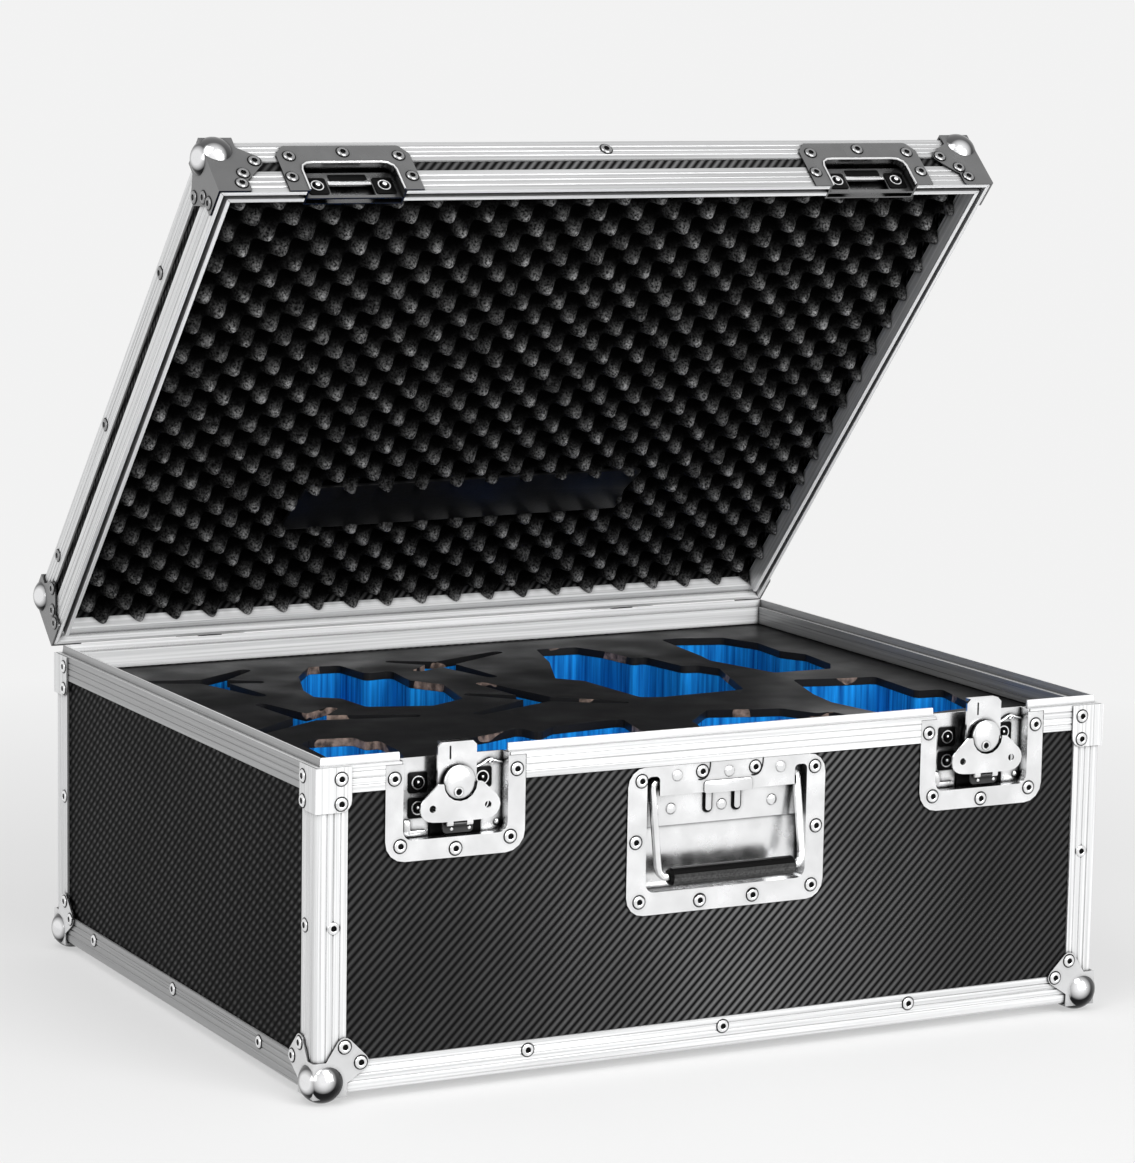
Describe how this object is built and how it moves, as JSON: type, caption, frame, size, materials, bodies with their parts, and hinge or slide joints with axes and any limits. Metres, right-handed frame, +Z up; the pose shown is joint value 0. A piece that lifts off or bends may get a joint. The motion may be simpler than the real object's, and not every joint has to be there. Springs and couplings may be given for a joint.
{
  "type": "flight case",
  "caption": "Hinged-lid flight case with aluminium edges, ball corners, butterfly latches, a recessed handle and fitted foam, standing open.",
  "frame": {"origin": "middle of the underside of the floor panel", "axes": "+X to the right along the hinge line, +Y to the hinged back, +Z up"},
  "size_m": [0.664, 0.569, 0.6594],
  "materials": {
    "laminate": "black textured laminate on plywood",
    "aluminium": "bright drawn aluminium with fine lengthwise grooves",
    "chrome": "bright plated pressed steel",
    "zinc_steel": "bright plated pressed steel",
    "rubber": "black moulded rubber",
    "blue_foam": "bright blue closed-cell foam",
    "black_foam": "black foam"
  },
  "bodies": {
    "base": {"floor_panel": "laminate", "front_panel": "laminate", "back_panel": "laminate", "left_panel": "laminate", "right_panel": "laminate", "bottom_edge_front": "aluminium", "bottom_edge_back": "aluminium", "bottom_edge_left": "aluminium", "bottom_edge_right": "aluminium", "corner_post_front_left": "aluminium", "corner_post_front_right": "aluminium", "corner_post_back_left": "aluminium", "corner_post_back_right": "aluminium", "base_rim_left": "aluminium", "base_rim_right": "aluminium", "base_rim_back": "aluminium", "base_rim_front_left": "aluminium", "base_rim_front_middle": "aluminium", "base_rim_front_right": "aluminium", "ball_corner_front_left": "chrome", "ball_corner_front_right": "chrome", "ball_corner_back_left": "chrome", "ball_corner_back_right": "chrome", "latch_dish_left": "zinc_steel", "latch_dish_right": "zinc_steel", "handle_dish": "zinc_steel", "foam_block": "blue_foam", "foam_base": "blue_foam", "foam_top_sheet": "black_foam", "hinge_lower_leaf_left": "zinc_steel", "hinge_lower_leaf_right": "zinc_steel"},
    "lid": {"lid_top_panel": "laminate", "lid_walls": "laminate", "lid_foam": "black_foam", "lid_edge_front": "aluminium", "lid_edge_back": "aluminium", "lid_edge_left": "aluminium", "lid_edge_right": "aluminium", "lid_rim_left": "aluminium", "lid_rim_right": "aluminium", "lid_rim_back": "aluminium", "lid_rim_front_left": "aluminium", "lid_rim_front_middle": "aluminium", "lid_rim_front_right": "aluminium", "lid_corner_front_left": "chrome", "lid_corner_front_right": "chrome", "lid_corner_back_left": "chrome", "lid_corner_back_right": "chrome", "lid_latch_dish_left": "zinc_steel", "lid_latch_dish_right": "zinc_steel", "hinge_upper_leaf_left": "zinc_steel", "hinge_upper_leaf_right": "zinc_steel"},
    "handle": {"handle_bail": "zinc_steel", "handle_grip": "rubber"},
    "rotor_left": {"latch_rotor_left": "zinc_steel"},
    "rotor_right": {"latch_rotor_right": "zinc_steel"},
    "wing_left": {"latch_wing_left": "zinc_steel"},
    "wing_right": {"latch_wing_right": "zinc_steel"},
    "hook_left": {"latch_hook_left": "zinc_steel"},
    "hook_right": {"latch_hook_right": "zinc_steel"}
  },
  "joints": [
    {"name": "lid_hinge", "type": "hinge", "parent": "base", "child": "lid", "pos_m": [0, 0.262, 0.2264], "axis": [-1, 0, 0], "range_deg": [-48, 52]},
    {"name": "handle_fold", "type": "hinge", "parent": "base", "child": "handle", "pos_m": [0, -0.2486, 0.1979], "axis": [-1, 0, 0], "range_deg": [0, 95]},
    {"name": "latch_turn_left", "type": "hinge", "parent": "base", "child": "rotor_left", "pos_m": [-0.2185, -0.254, 0.2129], "axis": [0, -1, 0], "range_deg": [0, 180]},
    {"name": "latch_turn_right", "type": "hinge", "parent": "base", "child": "rotor_right", "pos_m": [0.2185, -0.254, 0.2129], "axis": [0, 1, 0], "range_deg": [0, 180]},
    {"name": "wing_fold_left", "type": "hinge", "parent": "rotor_left", "child": "wing_left", "pos_m": [-0.2185, -0.2594, 0.1839], "axis": [1, 0, 0], "range_deg": [0, 100]},
    {"name": "wing_fold_right", "type": "hinge", "parent": "rotor_right", "child": "wing_right", "pos_m": [0.2185, -0.2594, 0.1839], "axis": [1, 0, 0], "range_deg": [0, 100]},
    {"name": "latch_hook_left", "type": "slide", "parent": "base", "child": "hook_left", "axis": [0, 0.6402, -0.7682], "range_m": [0, 0.00781]},
    {"name": "latch_hook_right", "type": "slide", "parent": "base", "child": "hook_right", "axis": [0, 0.6402, -0.7682], "range_m": [0, 0.00781]}
  ],
  "couplings": [
    {"joint": "latch_hook_left", "follows": "latch_turn_left", "m_per_rad": 0.002486},
    {"joint": "latch_hook_right", "follows": "latch_turn_right", "m_per_rad": 0.002486}
  ]
}
